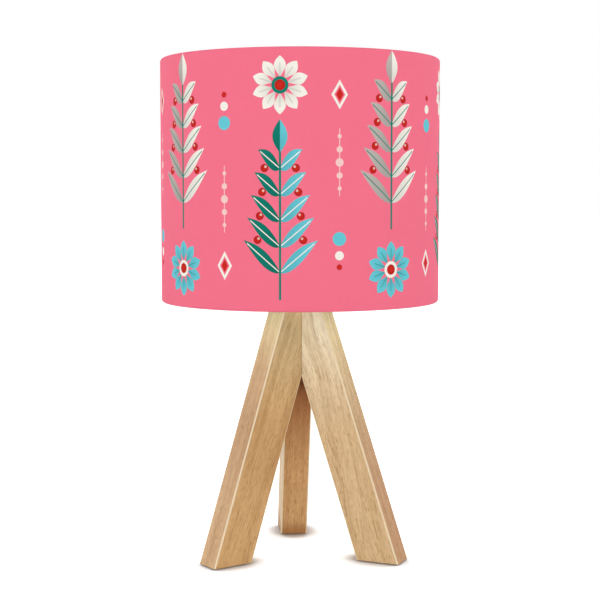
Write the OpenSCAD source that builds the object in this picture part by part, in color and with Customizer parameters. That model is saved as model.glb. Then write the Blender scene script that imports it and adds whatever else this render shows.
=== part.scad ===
// Tripod table lamp.
// Three leaning timber legs are mitred into each other under a drum shade. A hollow stem runs
// down through the mitres and carries a small screw lampholder for the shade and the bulb.
// Sizes are in millimetres. The origin is on the table, under the lamp's centre line, with
// +Z up, +X to the right and +Y to the back.

/* [Shade] */
// Outside diameter of the drum
shade_d = 200; // [180:1:240]
// Height of the drum from rim to rim
shade_h = 173; // [150:1:200]
// Height of the lower rim above the table
shade_base = 185; // [176:1:194]
// Thickness of the printed fabric
fabric_t = 0.5; // [0.3:0.1:0.8]
// Thickness of the stiff lining behind the fabric
liner_t = 0.5; // [0.3:0.1:0.8]
// Width of the glued overlap at the upright seam
seam_lap = 10; // [6:1:16]
// Place of the seam, in degrees anticlockwise from the right-hand side
seam_turn = 60; // [45:1:75]
// Diameter of the frame wire
wire_d = 3; // [2.4:0.1:3.6]
// Room between a rim wire and the hem rolled round it
hem_gap = 0.1; // [0.1:0.05:0.3]
// Room round an arm where it passes through the hem
notch_gap = 0.4; // [0.3:0.1:0.8]

/* [Fitter] */
// Outside diameter of the fitter ring
fitter_d = 46; // [45:1:56]
// Thickness of the fitter ring
fitter_t = 1.5; // [1:0.1:2]
// Room between the fitter ring and the lampholder's barrel, on the radius
fitter_room = 0.6; // [0.4:0.1:1.5]
// Turn of the first arm, in degrees
arm_turn = 30; // [0:1:60]

/* [Legs] */
// Thickness of a leg
leg_t = 20; // [19:0.5:24]
// Width of a leg, square to its length
leg_w = 30; // [28:0.5:36]
// Lean of a leg from upright, in degrees
leg_lean = 18.5; // [17:0.5:20]
// Height of the level cut on top of the legs
leg_top = 188; // [180:1:190]
// Reach of a leg's outer edge from the centre line at the level cut
top_reach = 18; // [17:0.5:20]
// Turn of the tripod about the upright, in degrees
leg_turn = 5.5; // [-20:0.5:20]
// Rounding of a leg's long edges
leg_round = 1.2; // [0.6:0.1:2]
// Ease on the sharp edge of each mitre
mitre_ease = 0.5; // [0.2:0.1:0.8]
// Diameter of a foot pad
pad_d = 15; // [10:1:18]
// Thickness of a foot pad
pad_t = 1; // [0.6:0.1:2]

/* [Stem] */
// Outside diameter of the hollow stem
stem_d = 10; // [9:0.5:11]
// Bore of the stem
stem_bore = 7; // [5:0.5:7.5]
// Room round the stem in the timber, on the radius
stem_room = 0.25; // [0.15:0.05:0.5]
// Depth of timber clamped between the plate and the lower washer
grip_depth = 28; // [24:1:32]
// Diameter of the lower washer
washer_d = 19; // [17:0.5:19.5]
// Thickness of the lower washer
washer_t = 1.5; // [1:0.1:2.5]
// Room round the washer in its pocket, on the radius
pocket_room = 0.5; // [0.3:0.1:0.8]
// Width of the stem nuts across the flats
nut_af = 14; // [13.5:0.5:15]
// Height of a stem nut
nut_h = 3.5; // [2.5:0.5:4.5]
// Length of stem below the lower nut
stem_tail = 7; // [6:0.5:10]
// Outside diameter of the cord bush
bush_d = 14; // [13:0.5:16]
// Depth of stem inside the cord bush
bush_grip = 4; // [2.5:0.5:5]
// Thickness of the cord bush's lip
bush_lip = 2; // [1:0.5:3]
// Thickness of the top plate
plate_t = 2; // [1.5:0.1:3]
// Shank diameter of a plate screw
screw_d = 3; // [2.5:0.1:3.5]
// Head diameter of a plate screw
screw_head_d = 5.6; // [5:0.1:6]
// Length of a plate screw
screw_len = 16; // [12:1:20]

/* [Lampholder] */
// Outside diameter of the lampholder's cap
holder_d = 30; // [29:0.5:34]
// Height of the cap
cap_h = 20; // [19.5:0.5:24]
// Diameter of the cap's neck
neck_d = 16; // [15:0.5:18]
// Height of the cap's neck
neck_h = 5; // [4.5:0.5:6]
// Wall of the cap
holder_wall = 2; // [1.5:0.1:2.2]
// Diameter of the shoulder that the shade rests on
shoulder_d = 35; // [34:0.5:38]
// Thickness of the shoulder
shoulder_t = 2; // [1.5:0.1:3]
// Diameter of the barrel
barrel_d = 28; // [27:0.5:29]
// Height of the barrel above the shoulder
barrel_h = 18; // [17:0.5:20]
// Diameter of the shade ring
ring_d = 42; // [39:0.5:44]
// Height of the shade ring
ring_h = 7; // [5:0.5:8]
// Number of grip hollows round the shade ring
ring_grips = 24; // [16:1:30]

/* [Bulb] */
// Diameter of the glass globe
bulb_d = 45; // [35:1:60]
// Length of the bulb
bulb_len = 78; // [70:1:95]
// Wall of the glass
glass_t = 0.8; // [0.6:0.1:1.2]
// Diameter of the bulb's screw cap
bulb_cap_d = 13.8; // [13.4:0.1:13.9]
// Length of the bulb's screw cap
bulb_cap_len = 15; // [14:0.5:16]

/* [Hidden] */
$fn = 128;

// Small fits
thread_room = 0.05;
run_gap = 0.1;
slack = 1;

// Legs
leg_count = 3;
leg_step = 360 / leg_count;
mitre_angle = leg_step / 2;
left_azimuth = 210 + leg_turn;
right_azimuth = 330 + leg_turn;
back_azimuth = 90 + leg_turn;
leg_span = leg_w / cos(leg_lean);
foot_reach = top_reach + leg_top * tan(leg_lean);
foot_centre = foot_reach - leg_span / 2;
mitre_reach = leg_t / 2 / sin(mitre_angle);
bar_spare = leg_w;
bar_len = leg_top / cos(leg_lean) + 2 * bar_spare;

// Stem, from its foot up
stem_hole_d = stem_d + 2 * stem_room;
thread_hole_d = stem_d + 2 * thread_room;
pocket_d = washer_d + 2 * pocket_room;
seat_z = leg_top - grip_depth;
lower_nut_z = seat_z - washer_t - nut_h;
stem_z = lower_nut_z - stem_tail;
plate_z = leg_top;
upper_nut_z = plate_z + plate_t;
holder_z = upper_nut_z + nut_h;
neck_bore_h = neck_h + 2;
stem_len = holder_z + neck_bore_h - stem_z;
bush_z = stem_z - bush_lip;
screw_reach = (stem_hole_d / 2 + top_reach) / 2;
screw_hole_d = screw_d + 2 * thread_room;
screw_head_h = (screw_head_d - screw_d) / 2;
screw_tip_h = 4;
plate_hub_d = 22;
plate_arm_w = leg_t - 4;
plate_arm_reach = top_reach - 1;

// Lampholder, from its neck up
dome_r = (holder_d - neck_d) / 2;
cavity_d = holder_d - 2 * holder_wall;
well_d = cavity_d - 5;
ledge_z = holder_z + neck_h + dome_r;
carrier_h = 4;
carrier_d = cavity_d - 2 * run_gap;
carrier_top = ledge_z + carrier_h;
rim_z = holder_z + cap_h;
shoulder_top = rim_z + shoulder_t;
barrel_top = shoulder_top + barrel_h;
plug_d = cavity_d - 2 * run_gap;
plug_bore_d = 20;
socket_z = shoulder_top + 5;
socket_d = bulb_cap_d + 0.4;
mouth_h = 4;
mouth_d = 24.4;
lock_d = 3;
lock_z = holder_z + neck_h / 2;
lock_slot_w = 0.6;
lock_slot_h = 0.8;

// Contacts
strip_t = 0.5;
strip_w = 4;
terminal_reach = 8.4;
terminal_d = 2.5;
terminal_head_d = 3.6;
terminal_head_h = 1.8;
contact_lift = 2.4;
wire_way_d = 3;
wire_way_reach = 7.5;
side_contact_top = shoulder_top + 4;

// Bulb, from its tip up
tip_z = carrier_top + contact_lift + run_gap;
tip_h = 1.5;
tip_r = 2.8;
insulator_z = tip_z + tip_h;
insulator_h = 3.3;
bulb_cap_z = insulator_z + insulator_h;
cap_wall = 0.5;
collar_z = bulb_cap_z + bulb_cap_len;
collar_cone_h = 1.5;
collar_h = 3.5;
collar_d = bulb_cap_d + 2.6;
glass_z = collar_z + collar_h;
glass_plug_d = bulb_cap_d - 2 * cap_wall - 0.4;
glass_plug_h = 6;
glass_neck_r = collar_d / 2 - 0.2;
globe_r = bulb_d / 2;
globe_z = tip_z + bulb_len - globe_r;
globe_drop = globe_z - glass_z;
neck_slope = asin(globe_r / norm([glass_neck_r, globe_drop])) - atan(glass_neck_r / globe_drop);

// Shade
shade_r = shade_d / 2;
shade_top = shade_base + shade_h;
hem_in = wire_d / 2 + hem_gap;
hem_r = hem_in + fabric_t;
ring_wire_r = shade_r - hem_r;
bottom_ring_z = shade_base + hem_r;
top_ring_z = shade_top - hem_r;
seam_angle = 360 * seam_lap / (PI * shade_d);
fitter_z = shoulder_top + run_gap;
fitter_hole_d = barrel_d + 2 * fitter_room;
arm_z = fitter_z + fitter_t / 2;
arm_drop = arm_z - bottom_ring_z;
arm_len = norm([ring_wire_r, arm_drop]);
arm_tilt = atan2(arm_drop, ring_wire_r - fitter_d / 2);
arm_count = 3;

// Shade ring
ring_z = fitter_z + fitter_t + run_gap;
ring_hole_d = barrel_d + 4 * run_gap;
ring_grip_d = 2.4;
ring_flange_h = 2;
ring_body_d = ring_d - 5;

// Colours
timber = "#c9a878";
felt = "#8c8378";
steel = "#b9bcc0";
brass = "#c9a34e";
black_plastic = "#222224";
ivory = "#e6e0d0";
white_coat = "#f1f0ec";
opal = "#f6f3ea";
pink = "#f2748c";

// Legs

function on_mitre(reach) = [reach * cos(mitre_angle), reach * sin(mitre_angle)];

module leg_section() {
    square([leg_w - 2 * leg_round, leg_t], center = true);
    square([leg_w, leg_t - 2 * leg_round], center = true);
    for (x = [-1, 1], y = [-1, 1])
        translate([x * (leg_w / 2 - leg_round), y * (leg_t / 2 - leg_round)])
            circle(leg_round);
}

module leaning_bar() {
    translate([foot_centre, 0, 0])
        rotate([0, -leg_lean, 0])
            translate([0, 0, -bar_spare])
                linear_extrude(bar_len)
                    leg_section();
}

// Plan of one leg's share of the joint, with its mitres meeting on the centre line
module mitre_plan() {
    inner = on_mitre(mitre_reach - mitre_ease);
    outer = on_mitre(mitre_reach) + [mitre_ease, 0];
    far = foot_reach + leg_span;
    polygon([
        [0, 0],
        [inner[0], -inner[1]],
        [outer[0], -outer[1]],
        [outer[0], -leg_t],
        [far, -leg_t],
        [far, leg_t],
        [outer[0], leg_t],
        outer,
        inner
    ]);
}

module leg(azimuth) {
    rotate(azimuth)
        difference() {
            intersection() {
                leaning_bar();
                translate([0, 0, pad_t])
                    linear_extrude(leg_top - pad_t)
                        mitre_plan();
            }
            cylinder(h = leg_top + slack, d = stem_hole_d);
            cylinder(h = seat_z, d = pocket_d);
            translate([screw_reach, 0, upper_nut_z - screw_len])
                cylinder(h = screw_len, d = screw_hole_d);
        }
}

module leg_left()
    color(timber)
        leg(left_azimuth);

module leg_right()
    color(timber)
        leg(right_azimuth);

module leg_back()
    color(timber)
        leg(back_azimuth);

module at_each_leg()
    for (azimuth = [left_azimuth, right_azimuth, back_azimuth])
        rotate(azimuth)
            children();

module foot_pads()
    color(felt)
        at_each_leg()
            translate([foot_centre, 0, 0])
                cylinder(h = pad_t, d = pad_d);

// Plate and stem

module screw_head(room)
    translate([screw_reach, 0, upper_nut_z - screw_head_h])
        cylinder(h = screw_head_h, d1 = screw_d + 2 * room, d2 = screw_head_d + 2 * room);

module top_plate()
    color(steel)
        difference() {
            translate([0, 0, plate_z])
                linear_extrude(plate_t)
                    difference() {
                        union() {
                            circle(d = plate_hub_d);
                            at_each_leg()
                                translate([0, -plate_arm_w / 2])
                                    square([plate_arm_reach, plate_arm_w]);
                        }
                        circle(d = stem_hole_d);
                        at_each_leg()
                            translate([screw_reach, 0])
                                circle(d = screw_hole_d);
                    }
            at_each_leg()
                screw_head(thread_room);
        }

module plate_screw() {
    slot_w = 0.8;
    slot_h = 0.9;
    difference() {
        union() {
            screw_head(0);
            translate([screw_reach, 0, upper_nut_z - screw_len + screw_tip_h])
                cylinder(h = screw_len - screw_tip_h - screw_head_h, d = screw_d);
            translate([screw_reach, 0, upper_nut_z - screw_len])
                cylinder(h = screw_tip_h, d1 = screw_d / 4, d2 = screw_d);
        }
        translate([screw_reach, 0, upper_nut_z])
            for (turn = [0, 90])
                rotate(turn)
                    cube([screw_d, slot_w, 2 * slot_h], center = true);
    }
}

module plate_screws()
    color(steel)
        at_each_leg()
            plate_screw();

module stem()
    color(steel)
        translate([0, 0, stem_z])
            linear_extrude(stem_len)
                difference() {
                    circle(d = stem_d);
                    circle(d = stem_bore);
                }

module lower_washer()
    color(steel)
        translate([0, 0, seat_z - washer_t])
            linear_extrude(washer_t)
                difference() {
                    circle(d = washer_d);
                    circle(d = stem_hole_d);
                }

module stem_nut()
    difference() {
        cylinder(h = nut_h, d = nut_af / cos(30), $fn = 6);
        translate([0, 0, -slack])
            cylinder(h = nut_h + 2 * slack, d = thread_hole_d);
    }

module lower_nut()
    color(steel)
        translate([0, 0, lower_nut_z])
            stem_nut();

module upper_nut()
    color(steel)
        translate([0, 0, upper_nut_z])
            stem_nut();

module cord_bush()
    color(black_plastic)
        translate([0, 0, bush_z])
            difference() {
                cylinder(h = bush_lip + bush_grip, d = bush_d);
                translate([0, 0, -slack])
                    cylinder(h = bush_lip + 2 * slack, d = stem_bore);
                translate([0, 0, bush_lip])
                    cylinder(h = bush_grip + slack, d = thread_hole_d);
            }

// Lampholder

module cap_profile()
    difference() {
        union() {
            square([neck_d / 2, neck_h + dome_r]);
            translate([neck_d / 2, neck_h])
                intersection() {
                    translate([0, dome_r])
                        circle(dome_r);
                    square([dome_r, dome_r]);
                }
            translate([0, neck_h + dome_r])
                square([holder_d / 2, cap_h - neck_h - dome_r]);
        }
        square([thread_hole_d / 2, neck_bore_h]);
        translate([0, neck_bore_h])
            square([well_d / 2, cap_h]);
        translate([0, neck_h + dome_r])
            square([cavity_d / 2, cap_h]);
    }

module holder_cap()
    color(black_plastic)
        difference() {
            translate([0, 0, holder_z])
                rotate_extrude()
                    cap_profile();
            translate([0, 0, lock_z])
                rotate([0, 90, 0])
                    cylinder(h = neck_d, d = lock_d + 2 * thread_room);
        }

module lock_screw()
    color(steel)
        translate([0, 0, lock_z])
            rotate([0, 90, 0])
                difference() {
                    translate([0, 0, stem_d / 2])
                        cylinder(h = neck_d / 2 - stem_d / 2, d = lock_d);
                    translate([0, 0, neck_d / 2])
                        cube([lock_slot_w, neck_d, 2 * lock_slot_h], center = true);
                }

module contact_carrier()
    color(ivory)
        translate([0, 0, ledge_z])
            linear_extrude(carrier_h)
                difference() {
                    circle(d = carrier_d);
                    for (side = [-1, 1]) {
                        translate([0, side * terminal_reach])
                            circle(d = terminal_d + 2 * thread_room);
                        translate([side * wire_way_reach, 0])
                            circle(d = wire_way_d);
                    }
                }

// Flat strip bent to an outline in the upright plane through the two terminals
module bent_strip(outline)
    difference() {
        translate([-strip_w / 2, 0, carrier_top])
            rotate([90, 0, 90])
                linear_extrude(strip_w)
                    polygon(outline);
        for (side = [-1, 1])
            translate([0, side * terminal_reach, carrier_top - slack])
                cylinder(h = strip_t + 2 * slack, d = terminal_d + 2 * thread_room);
    }

module centre_contact() {
    tail = terminal_reach + terminal_d / 2;
    bend = terminal_reach - terminal_d;
    nose = 1.5;
    color(brass)
        bent_strip([
            [-tail, 0],
            [-bend, 0],
            [nose, contact_lift - strip_t],
            [nose, contact_lift],
            [-nose, contact_lift],
            [-bend - strip_t, strip_t],
            [-tail, strip_t]
        ]);
}

module side_contact() {
    tail = terminal_reach + terminal_d / 2;
    face = bulb_cap_d / 2 + run_gap;
    top = side_contact_top - carrier_top;
    color(brass)
        bent_strip([
            [tail, 0],
            [face, 0],
            [face, top],
            [face + strip_t / 2, top],
            [face + strip_t / 2, strip_t],
            [tail, strip_t]
        ]);
}

module terminal_screws()
    color(brass)
        for (side = [-1, 1])
            translate([0, side * terminal_reach, ledge_z]) {
                translate([0, 0, -terminal_head_h])
                    cylinder(h = terminal_head_h, d = terminal_head_d);
                cylinder(h = carrier_h + strip_t, d = terminal_d);
            }

module holder_skirt()
    color(black_plastic)
        difference() {
            union() {
                translate([0, 0, carrier_top])
                    cylinder(h = rim_z - carrier_top, d = plug_d);
                translate([0, 0, rim_z])
                    cylinder(h = shoulder_t, d = shoulder_d);
                translate([0, 0, shoulder_top])
                    cylinder(h = barrel_h, d = barrel_d);
            }
            translate([0, 0, carrier_top - slack])
                cylinder(h = socket_z - carrier_top + slack, d = plug_bore_d);
            translate([0, 0, socket_z - slack])
                cylinder(h = barrel_h, d = socket_d);
            translate([0, 0, barrel_top - mouth_h])
                cylinder(h = mouth_h + slack, d = mouth_d);
        }

module shade_ring()
    color(black_plastic)
        translate([0, 0, ring_z])
            difference() {
                union() {
                    cylinder(h = ring_flange_h, d = ring_d);
                    cylinder(h = ring_h, d = ring_body_d);
                }
                translate([0, 0, -slack])
                    cylinder(h = ring_h + 2 * slack, d = ring_hole_d);
                for (i = [0 : ring_grips - 1])
                    rotate(i * 360 / ring_grips)
                        translate([ring_body_d / 2 + ring_grip_d / 5, 0, ring_flange_h])
                            cylinder(h = ring_h, d = ring_grip_d);
            }

// Bulb

// Half outline of the globe and its neck, drawn in by a wall
module globe_profile(wall) {
    r = globe_r - wall;
    touch = [r * cos(neck_slope), globe_z - r * sin(neck_slope)];
    foot_r = glass_neck_r - wall / cos(neck_slope) + wall * tan(neck_slope);
    foot = [foot_r, glass_z + wall];
    intersection() {
        translate([0, globe_z])
            circle(r);
        translate([0, touch[1]])
            square(bulb_d);
    }
    polygon([[0, foot[1]], foot, touch, [0, touch[1]]]);
}

module bulb_glass()
    color(opal)
        rotate_extrude()
            difference() {
                union() {
                    globe_profile(0);
                    translate([0, glass_z - glass_plug_h])
                        square([glass_plug_d / 2, glass_plug_h]);
                }
                globe_profile(glass_t);
                translate([0, glass_z - glass_plug_h])
                    square([glass_plug_d / 2 - glass_t, glass_plug_h + 2 * glass_t]);
            }

module bulb_cap()
    color(steel)
        difference() {
            union() {
                translate([0, 0, bulb_cap_z])
                    cylinder(h = bulb_cap_len, d = bulb_cap_d);
                translate([0, 0, collar_z])
                    cylinder(h = collar_cone_h, d1 = bulb_cap_d, d2 = collar_d);
                translate([0, 0, collar_z + collar_cone_h])
                    cylinder(h = collar_h - collar_cone_h, d = collar_d);
            }
            translate([0, 0, bulb_cap_z + cap_wall])
                cylinder(h = glass_z - bulb_cap_z, d = bulb_cap_d - 2 * cap_wall);
        }

module bulb_insulator()
    color(black_plastic)
        translate([0, 0, insulator_z])
            cylinder(h = insulator_h, d1 = 2 * tip_r, d2 = bulb_cap_d - 2 * cap_wall);

module bulb_contact()
    color(steel)
        intersection() {
            translate([0, 0, tip_z + tip_r])
                sphere(tip_r);
            translate([0, 0, tip_z])
                cylinder(h = tip_h, r = tip_r);
        }

// Shade

module rim_wire(z)
    translate([0, 0, z])
        rotate_extrude()
            translate([ring_wire_r, 0])
                circle(d = wire_d);

module bottom_ring()
    color(white_coat)
        rim_wire(bottom_ring_z);

module top_ring()
    color(white_coat)
        rim_wire(top_ring_z);

module fitter_ring()
    color(white_coat)
        translate([0, 0, fitter_z])
            linear_extrude(fitter_t)
                difference() {
                    circle(d = fitter_d);
                    circle(d = fitter_hole_d);
                }

// Straight arms from the lower rim wire up to the fitter ring
module arm_rods(d)
    for (i = [0 : arm_count - 1])
        rotate(arm_turn + i * 360 / arm_count)
            translate([ring_wire_r, 0, bottom_ring_z])
                rotate([0, arm_tilt - 90, 0])
                    cylinder(h = arm_len, d = d);

module fitter_arms()
    color(white_coat)
        difference() {
            arm_rods(wire_d);
            rim_wire(bottom_ring_z);
            translate([0, 0, bottom_ring_z])
                cylinder(h = arm_drop + arm_len, d = fitter_d);
        }

module shade_liner()
    color(white_coat)
        translate([0, 0, shade_base + 2 * hem_r])
            linear_extrude(shade_h - 4 * hem_r)
                difference() {
                    circle(shade_r - fabric_t);
                    circle(shade_r - fabric_t - liner_t);
                }

// Three quarters of a roll round the lower rim wire, open towards the wall above it
module hem_profile()
    translate([ring_wire_r, 0])
        difference() {
            circle(hem_r);
            circle(hem_in);
            square(hem_r + slack);
        }

module shade_fabric()
    color(pink)
        difference() {
            union() {
                rotate_extrude() {
                    translate([0, bottom_ring_z])
                        hem_profile();
                    translate([0, top_ring_z])
                        mirror([0, 1])
                            hem_profile();
                    translate([shade_r - fabric_t, bottom_ring_z])
                        square([fabric_t, top_ring_z - bottom_ring_z]);
                }
                rotate(seam_turn)
                    translate([0, 0, bottom_ring_z])
                        rotate_extrude(angle = seam_angle)
                            translate([shade_r - fabric_t / 2, 0])
                                square([1.5 * fabric_t, top_ring_z - bottom_ring_z]);
            }
            arm_rods(wire_d + 2 * notch_gap);
        }

leg_left();
leg_right();
leg_back();
foot_pads();
top_plate();
plate_screws();
stem();
lower_washer();
lower_nut();
upper_nut();
cord_bush();
holder_cap();
lock_screw();
contact_carrier();
centre_contact();
side_contact();
terminal_screws();
holder_skirt();
shade_ring();
bulb_glass();
bulb_cap();
bulb_insulator();
bulb_contact();
fitter_ring();
fitter_arms();
bottom_ring();
top_ring();
shade_liner();
shade_fabric();
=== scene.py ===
"""A tripod table lamp with a printed drum shade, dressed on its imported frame.

The file is laid out as an add-on and run as a script. Lengths are in metres, and inside the finishes in
millimetres. The origin is on the table, under the lamp's centre line, with +X to the right, +Y to the back
and +Z up.
"""
import math
from functools import partial

import bmesh
import bpy
from bpy.props import FloatProperty, FloatVectorProperty, IntProperty, PointerProperty
from mathutils import Matrix, Vector


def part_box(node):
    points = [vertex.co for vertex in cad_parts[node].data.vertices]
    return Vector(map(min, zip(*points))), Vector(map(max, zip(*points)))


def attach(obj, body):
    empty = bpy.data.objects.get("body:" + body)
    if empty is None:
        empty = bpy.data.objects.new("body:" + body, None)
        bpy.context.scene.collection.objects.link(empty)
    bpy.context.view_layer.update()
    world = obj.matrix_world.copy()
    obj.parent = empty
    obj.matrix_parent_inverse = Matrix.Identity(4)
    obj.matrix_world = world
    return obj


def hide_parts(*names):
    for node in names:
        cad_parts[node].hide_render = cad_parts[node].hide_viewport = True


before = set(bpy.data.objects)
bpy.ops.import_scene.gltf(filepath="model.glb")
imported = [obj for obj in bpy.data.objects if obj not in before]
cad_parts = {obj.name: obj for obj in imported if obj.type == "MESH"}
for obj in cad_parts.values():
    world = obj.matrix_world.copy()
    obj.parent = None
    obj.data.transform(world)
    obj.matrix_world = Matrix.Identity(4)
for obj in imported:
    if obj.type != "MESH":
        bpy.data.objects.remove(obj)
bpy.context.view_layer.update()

bl_info = {
    "name": "Tripod Table Lamp",
    "version": (1, 0, 0),
    "blender": (4, 5, 0),
    "location": "3D View > Sidebar > Lamp",
    "description": "Dresses the frame of a timber tripod lamp with a printed drum shade",
    "category": "Object",
}

MM = 0.001
FULL_TURN = 2 * math.pi
WHITE = (1.0, 1.0, 1.0, 1.0)
SHADE_LOW, SHADE_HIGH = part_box("shade_fabric")


def mm(*values):
    """Metres, from values in millimetres."""
    return [value * MM for value in values]


def tint(red, green, blue):
    """Linear colour of an 8-bit display colour."""
    shares = [channel / 255 for channel in (red, green, blue)]
    return tuple(s / 12.92 if s <= 0.04045 else ((s + 0.055) / 1.055) ** 2.4 for s in shares)


# Sizes and colours


def length(name, description, default):
    return FloatProperty(name=name, description=description, default=default, unit="LENGTH", precision=5)


def angle(name, description, degrees):
    return FloatProperty(name=name, description=description, default=math.radians(degrees), subtype="ANGLE")


def colour(name, description, *display):
    return FloatVectorProperty(
        name=name, description=description, default=tint(*display), subtype="COLOR", min=0, max=1
    )


class LampSizes(bpy.types.PropertyGroup):
    """Sizes of the lamp that the frame doesn't give by itself."""

    shade_radius: length("Shade radius", "Outside radius of the drum", (SHADE_HIGH.x - SHADE_LOW.x) / 2)
    shade_bottom: length("Shade bottom", "Height of the drum's lower edge", SHADE_LOW.z)
    shade_top: length("Shade top", "Height of the drum's upper edge", SHADE_HIGH.z)
    cloth_thickness: length("Cloth thickness", "Thickness of the printed cloth", 0.5 * MM)
    lining_thickness: length("Lining thickness", "Thickness of the white lining", 0.5 * MM)
    wire_thickness: length("Wire thickness", "Thickness of the rim wires", 3 * MM)
    hem_room: length("Hem room", "Room between a rim wire and its rolled hem", 0.1 * MM)
    seam_lap: length("Seam lap", "Width of the upright overlap", 10 * MM)
    seam_turn: angle("Seam turn", "Place of the overlap, from the right-hand side", 60)
    arm_turn: angle("Arm turn", "Place of the frame's first arm, from the right-hand side", 30)
    weave_pitch: length("Weave pitch", "Distance from thread to thread", 0.5 * MM)
    print_columns: IntProperty(
        name="Print columns", description="Upright columns of the print round the drum",
        default=8, min=4, max=16,
    )
    print_shift: length("Print shift", "How far the print is moved along the drum", 0.0)
    leg_width: length("Leg width", "Width of a leg, square to its length", 30 * MM)
    leg_thickness: length("Leg thickness", "Thickness of a leg", 20 * MM)
    leg_lean: angle("Leg lean", "Lean of a leg from upright", 18.5)
    tripod_turn: angle("Tripod turn", "Turn of the tripod about the upright", 5.5)
    foot_reach: length("Foot reach", "Distance of a foot's middle from the centre line", 65.09 * MM)
    pad_radius: length("Pad radius", "Radius of a felt pad", 7.5 * MM)
    stem_bore: length("Stem bore", "Radius of the cord's way through the stem", 3.5 * MM)
    screw_bore: length("Screw bore", "Bore radius of the pieces that screw on the stem", 5.05 * MM)


class LampColours(bpy.types.PropertyGroup):
    """Colours of the lamp's finishes."""

    ground: colour("Ground", "Ground of the printed cloth", 240, 113, 137)
    red: colour("Red", "Berries and flower middles", 200, 38, 30)
    dark_red: colour("Dark red", "Shaded side of the berries", 150, 18, 16)
    teal: colour("Teal", "Dark leaves and stems", 14, 122, 106)
    turquoise: colour("Turquoise", "Light leaves and dots", 98, 196, 208)
    cream: colour("Cream", "Petals and fine lines", 240, 236, 226)
    grey: colour("Grey", "Pale leaves", 184, 176, 170)
    timber_warm: colour("Warm stain", "What a warm streak does to the wood's tone", 254, 244, 228)
    timber_dark: colour("Dark stain", "What a pore or growth line does to the wood's tone", 184, 142, 92)
    # Pale tone of the legs' arrises; it is also painted on one side face of the back leg as light on a lit
    # side
    timber_edge: colour("Timber edge", "Sanded arrises of the legs", 236, 218, 186)
    lining: colour("Lining", "Lining film of the shade", 240, 239, 234)
    coated_wire: colour("Coated wire", "Powder coat of the shade's frame", 236, 235, 230)
    steel: colour("Steel", "Zinc-plated fasteners", 190, 192, 196)
    brass: colour("Brass", "Contact strips", 206, 168, 92)
    black: colour("Black plastic", "Lampholder and bush", 32, 32, 34)
    opal: colour("Opal glass", "Globe of the bulb", 244, 242, 234)
    nickel: colour("Nickel", "Screw cap of the bulb", 200, 196, 186)
    felt: colour("Felt", "Pads under the feet", 128, 118, 106)


def sizes():
    return bpy.context.scene.lamp_sizes


def colours():
    return bpy.context.scene.lamp_colours


# Node graphs


def node_math(operation):
    """A method of arithmetic that adds one math node."""
    return lambda *values: values[0].graph.calc(operation, *values)


class Amount:
    """A number in a node graph, which takes part in plain arithmetic."""

    def __init__(self, graph, socket):
        self.graph = graph
        self.socket = socket

    def __rsub__(self, other):
        return self.graph.calc("SUBTRACT", other, self)

    __add__ = node_math("ADD")
    __sub__ = node_math("SUBTRACT")
    __mul__ = node_math("MULTIPLY")
    __truediv__ = node_math("DIVIDE")
    __mod__ = node_math("MODULO")
    __pow__ = node_math("POWER")
    __lt__ = node_math("LESS_THAN")
    __gt__ = node_math("GREATER_THAN")
    __abs__ = node_math("ABSOLUTE")
    __floor__ = node_math("FLOOR")
    __round__ = node_math("ROUND")


class Graph:
    """Short calls for building a node tree."""

    def __init__(self, tree):
        self.tree = tree

    def feed(self, socket, value):
        """Links a value to a socket, or sets it there if it is constant."""
        if isinstance(value, Amount):
            value = value.socket
        if isinstance(value, bpy.types.NodeSocket):
            self.tree.links.new(value, socket)
        else:
            socket.default_value = value

    def add(self, kind, **inputs):
        """Adds a node and feeds its inputs by name."""
        node = self.tree.nodes.new(kind)
        for name, value in inputs.items():
            self.feed(node.inputs[name], value)
        return node

    def calc(self, operation, *values):
        node = self.tree.nodes.new("ShaderNodeMath")
        node.operation = operation
        for socket, value in zip(node.inputs, values):
            self.feed(socket, value)
        return Amount(self, node.outputs[0])

    def clamp(self, value):
        return self.calc("MINIMUM", self.calc("MAXIMUM", value, 0.0), 1.0)

    def span(self, x, y):
        return self.calc("SQRT", x * x + y * y)

    def ease(self, value, low, high, to_low=0.0, to_high=1.0):
        """A smooth step of a value from one range to another."""
        node = self.tree.nodes.new("ShaderNodeMapRange")
        node.interpolation_type = "SMOOTHSTEP"
        for socket, entry in zip(node.inputs, (value, low, high, to_low, to_high)):
            self.feed(socket, entry)
        return Amount(self, node.outputs[0])

    def split(self, vector):
        parts = self.add("ShaderNodeSeparateXYZ", Vector=vector).outputs
        return [Amount(self, part) for part in parts]

    def join(self, x, y, z):
        return self.add("ShaderNodeCombineXYZ", X=x, Y=y, Z=z).outputs[0]

    def shown(self):
        """One for the rays that show the background: seen straight, in gloss or through glass."""
        path = self.add("ShaderNodeLightPath").outputs
        rays = path["Is Camera Ray"]
        for name in ("Is Glossy Ray", "Is Transmission Ray"):
            rays = self.calc("MAXIMUM", rays, path[name])
        return rays


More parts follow.
